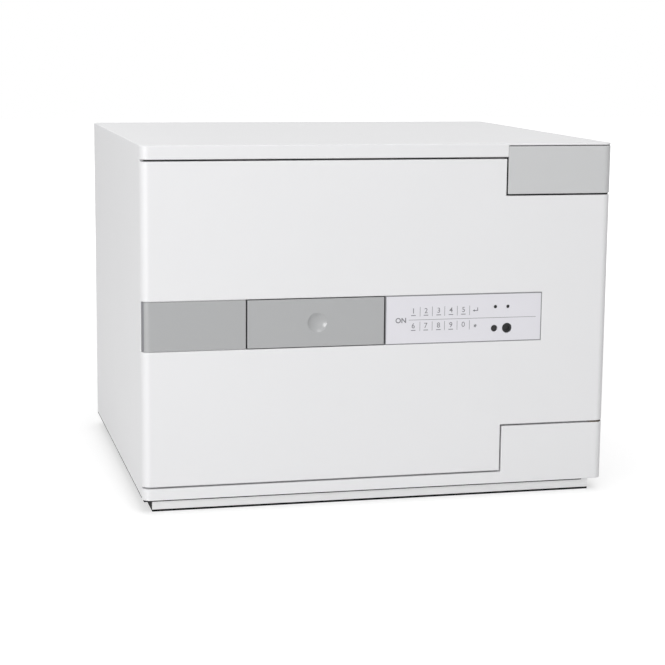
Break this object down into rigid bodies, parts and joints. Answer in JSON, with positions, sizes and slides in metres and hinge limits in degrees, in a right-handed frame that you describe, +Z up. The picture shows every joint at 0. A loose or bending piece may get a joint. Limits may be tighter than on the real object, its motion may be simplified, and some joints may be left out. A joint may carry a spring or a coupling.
{
  "type": "electronic safe",
  "caption": "Free-standing fire-resistant safe with a hinged door, a flush touch keypad, a pop-out handle and motor-driven bolts.",
  "frame": {"origin": "centre of the plinth's underside, in the middle of the overall width and depth", "axes": "+Z up; the door faces -Y; +X is to the right of a person facing the door"},
  "size_m": [0.45, 0.4, 0.34],
  "materials": {
    "white_paint": "satin",
    "inner_paint": "satin",
    "cap_grey": "satin",
    "band_grey": "satin",
    "tray_grey": "matte",
    "keypad_gloss": "gloss",
    "black_plastic": "matte",
    "seal_rubber": "matte",
    "mat_felt": "matte",
    "fire_fill": "matte",
    "plain_steel": "satin",
    "motor_can": "satin",
    "bright_chrome": "polished",
    "yellow_brass": "satin",
    "board_green": "satin",
    "cell_jacket": "satin",
    "button_red": "gloss"
  },
  "bodies": {
    "cabinet": {"outer_casing": "white_paint", "bottom_plate": "white_paint", "plinth": "white_paint", "front_frame": "inner_paint", "strike_plate": "plain_steel", "strike_box": "plain_steel", "inner_liner": "inner_paint", "fire_fill": "fire_fill", "lower_hinge_block": "white_paint", "upper_hinge_block": "plain_steel", "hinge_block_screws": "plain_steel", "hinge_cap": "cap_grey", "lower_hinge_pin": "plain_steel", "upper_hinge_pin": "plain_steel", "hinge_washer": "yellow_brass", "anchor_sleeves": "plain_steel", "floor_mat": "mat_felt", "shelf": "inner_paint", "shelf_studs": "plain_steel"},
    "door": {"door_plate": "white_paint", "door_tray": "inner_paint", "door_fill": "fire_fill", "door_seal": "seal_rubber", "lower_hinge_bush": "yellow_brass", "upper_hinge_bush": "yellow_brass", "band_inlay": "band_grey", "handle_backplate": "black_plastic", "handle_latch_body": "plain_steel", "keypad_tray": "tray_grey", "keypad_panel": "keypad_gloss", "keypad_board": "board_green", "status_lamps": "black_plastic", "reserve_contacts": "black_plastic", "cable_conduit": "plain_steel", "keypad_lead": "black_plastic", "bolt_housing": "inner_paint", "door_cover": "inner_paint", "cover_screws": "bright_chrome", "bolt_guides": "yellow_brass", "carriage_studs": "plain_steel", "gear_axle": "plain_steel", "motor_bracket": "plain_steel", "lock_motor": "motor_can", "bolt_switch": "black_plastic", "control_board": "board_green", "board_spacers": "yellow_brass", "battery_box": "black_plastic", "battery_contacts": "yellow_brass", "battery_cells": "cell_jacket", "code_switch": "black_plastic"},
    "handle": {"handle_plate": "band_grey", "handle_stem": "plain_steel"},
    "boltwork": {"bolt_carriage": "plain_steel", "drive_rack": "plain_steel", "locking_bolts": "bright_chrome", "bolt_screws": "plain_steel"},
    "gear_wheel": {"gear_wheel": "yellow_brass"},
    "motor_pinion": {"motor_pinion": "yellow_brass"},
    "battery_lid": {"battery_lid": "black_plastic"},
    "code_button": {"code_button": "button_red"}
  },
  "joints": [
    {"name": "door_hinge", "type": "hinge", "parent": "cabinet", "child": "door", "pos_m": [0.217, -0.192, 0.18], "axis": [0, 0, 1], "range_deg": [0, 150]},
    {"name": "handle_slide", "type": "slide", "parent": "door", "child": "handle", "axis": [0, -1, 0], "range_m": [-0.0015, 0.014]},
    {"name": "bolt_throw", "type": "slide", "parent": "door", "child": "boltwork", "axis": [-1, 0, 0], "range_m": [0, 0.02]},
    {"name": "gear_turn", "type": "hinge", "parent": "door", "child": "gear_wheel", "pos_m": [-0.0785, -0.15, 0.1694], "axis": [0, 1, 0], "range_deg": [0, 110]},
    {"name": "motor_turn", "type": "hinge", "parent": "door", "child": "motor_pinion", "pos_m": [-0.0635, -0.15, 0.19538], "axis": [0, 1, 0], "range_deg": [-440, 0]},
    {"name": "lid_hinge", "type": "hinge", "parent": "door", "child": "battery_lid", "pos_m": [0.0972, -0.1252, 0.1489], "axis": [1, 0, 0], "range_deg": [0, 90]},
    {"name": "button_press", "type": "slide", "parent": "door", "child": "code_button", "axis": [0, -1, 0], "range_m": [0, 0.002], "stiffness_N_per_m": 400}
  ],
  "couplings": [
    {"joint": "gear_turn", "follows": "bolt_throw", "rad_per_m": 95.238},
    {"joint": "motor_turn", "follows": "bolt_throw", "rad_per_m": -380.95}
  ]
}
